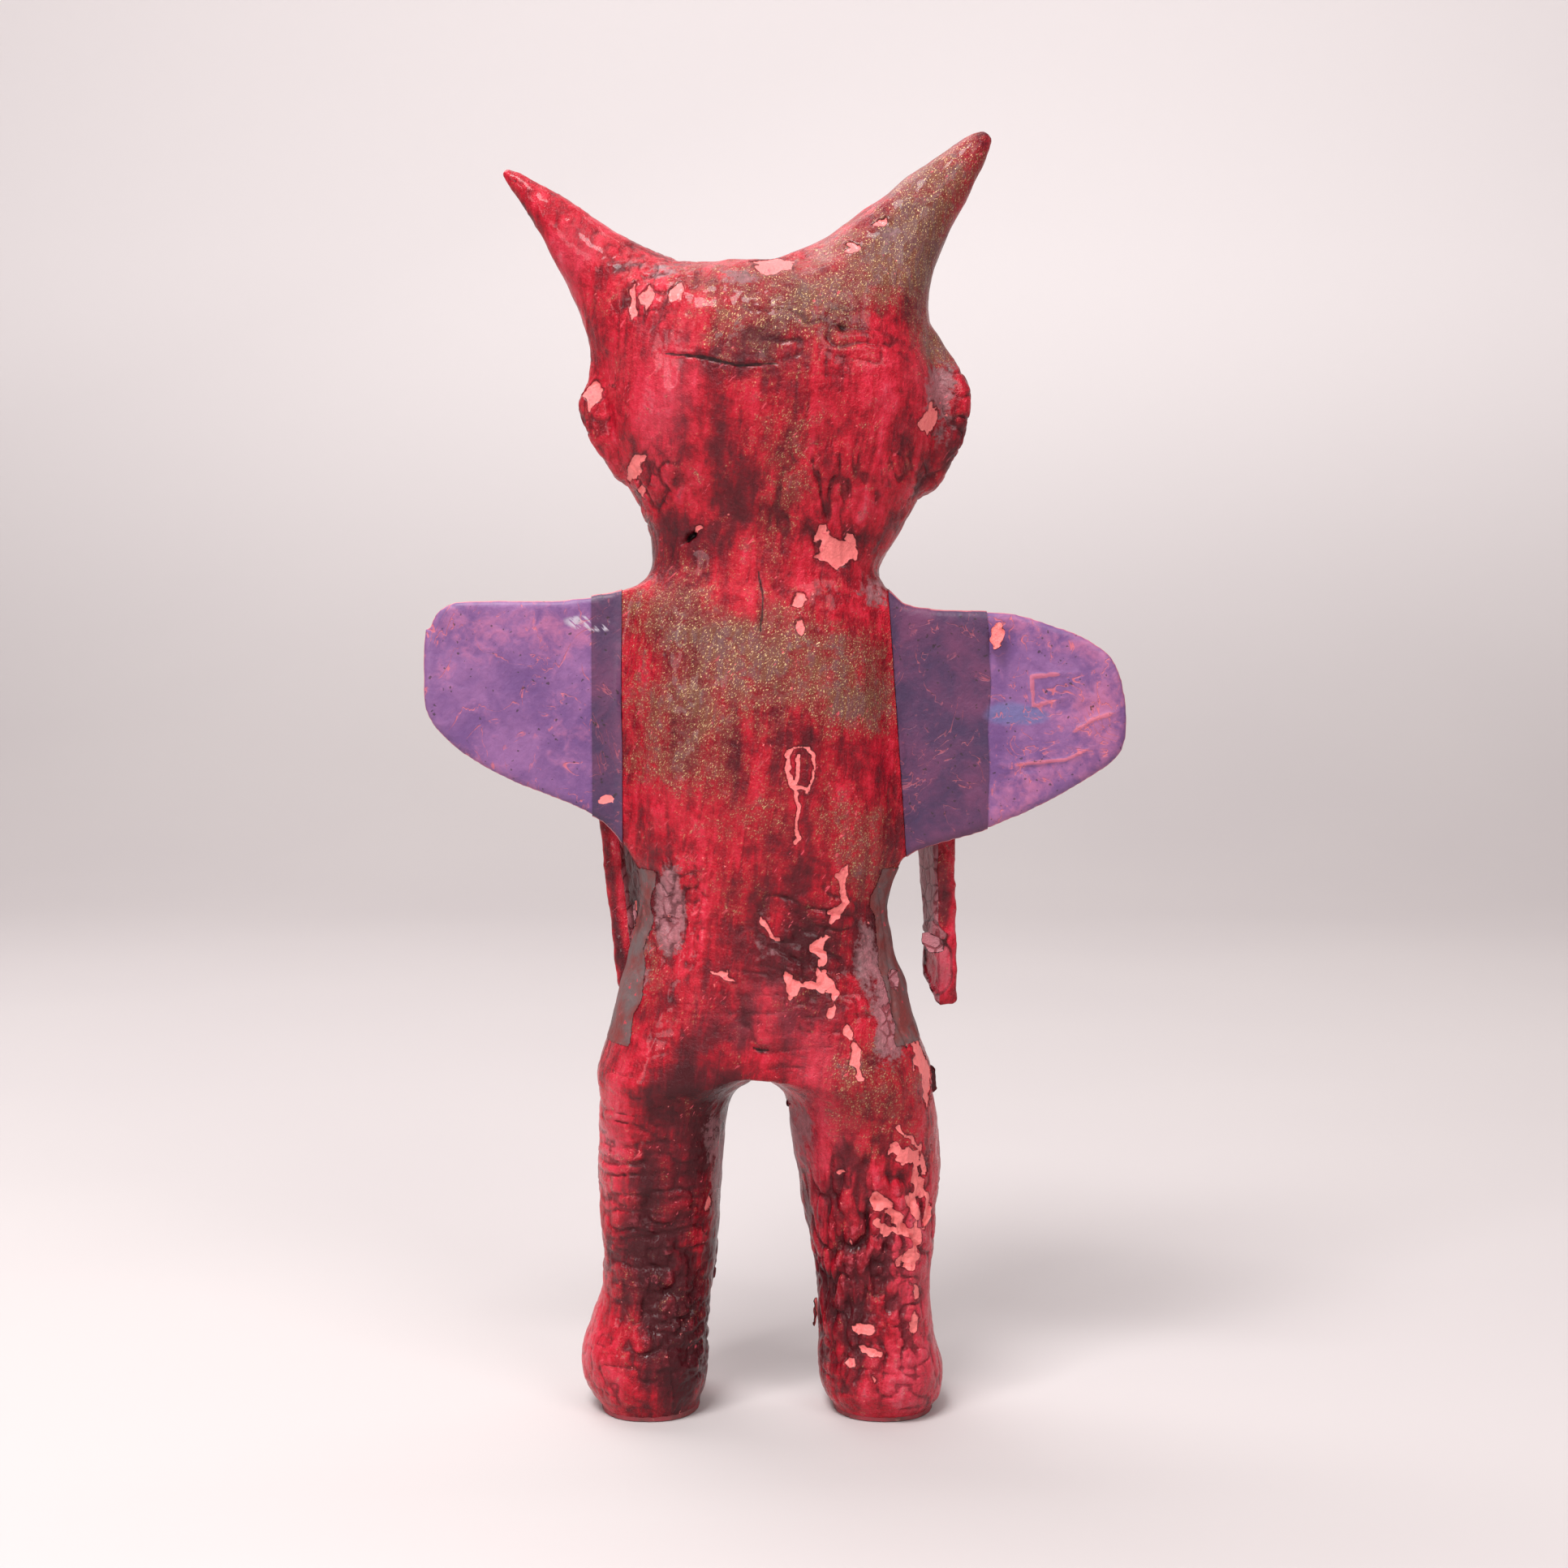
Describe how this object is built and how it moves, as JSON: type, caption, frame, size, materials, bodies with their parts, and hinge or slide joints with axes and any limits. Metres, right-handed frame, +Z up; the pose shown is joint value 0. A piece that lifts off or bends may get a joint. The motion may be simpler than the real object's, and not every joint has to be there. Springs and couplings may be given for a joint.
{
  "type": "papier-mache devil figure",
  "caption": "Hollow papier-mache devil figure with horns, small ears, stubby card wings and flat hanging arms, standing on two blunt feet, over a reed armature.",
  "frame": {"origin": "centre of the bounding box in plan, on the floor under the soles", "axes": "+Z up along the figure, +Y the way the figure faces, +X across it towards its own right hand"},
  "size_m": [0.1542, 0.0567, 0.2829],
  "materials": {
    "red_mache": "gloss",
    "wing_card": "satin",
    "strip_paper": "satin",
    "seam_paper": "gloss",
    "sole_card": "matte",
    "eye_white": "gloss",
    "lip_paint": "gloss",
    "tooth_white": "gloss",
    "black_paint": "satin",
    "reed": "matte",
    "twine": "matte",
    "wire": "satin",
    "newspaper": "matte"
  },
  "bodies": {
    "root": {"head_back_shell": "red_mache", "head_front_shell": "red_mache", "torso_back_shell": "red_mache", "torso_front_shell": "red_mache", "leg_shell_left": "red_mache", "leg_shell_right": "red_mache", "sole_left": "sole_card", "sole_right": "sole_card", "horn_left": "red_mache", "horn_right": "red_mache", "ear_left": "red_mache", "ear_right": "red_mache", "wing_left": "wing_card", "wing_right": "wing_card", "wing_strip_left": "strip_paper", "wing_strip_right": "strip_paper", "seam_strip_left": "seam_paper", "seam_strip_right": "seam_paper", "arm_left": "red_mache", "arm_right": "red_mache", "eye_left": "eye_white", "eye_right": "eye_white", "nose": "red_mache", "lips": "lip_paint", "teeth": "tooth_white", "chin_beard": "black_paint", "spine_reed": "reed", "shoulder_reed": "reed", "hip_reed": "reed", "leg_reed_left": "reed", "leg_reed_right": "reed", "shoulder_lashing": "twine", "hip_lashing": "twine", "horn_wire_left": "wire", "horn_wire_right": "wire", "head_wads": "newspaper", "torso_wads": "newspaper", "leg_roll_left": "newspaper", "leg_roll_right": "newspaper"}
  },
  "joints": []
}
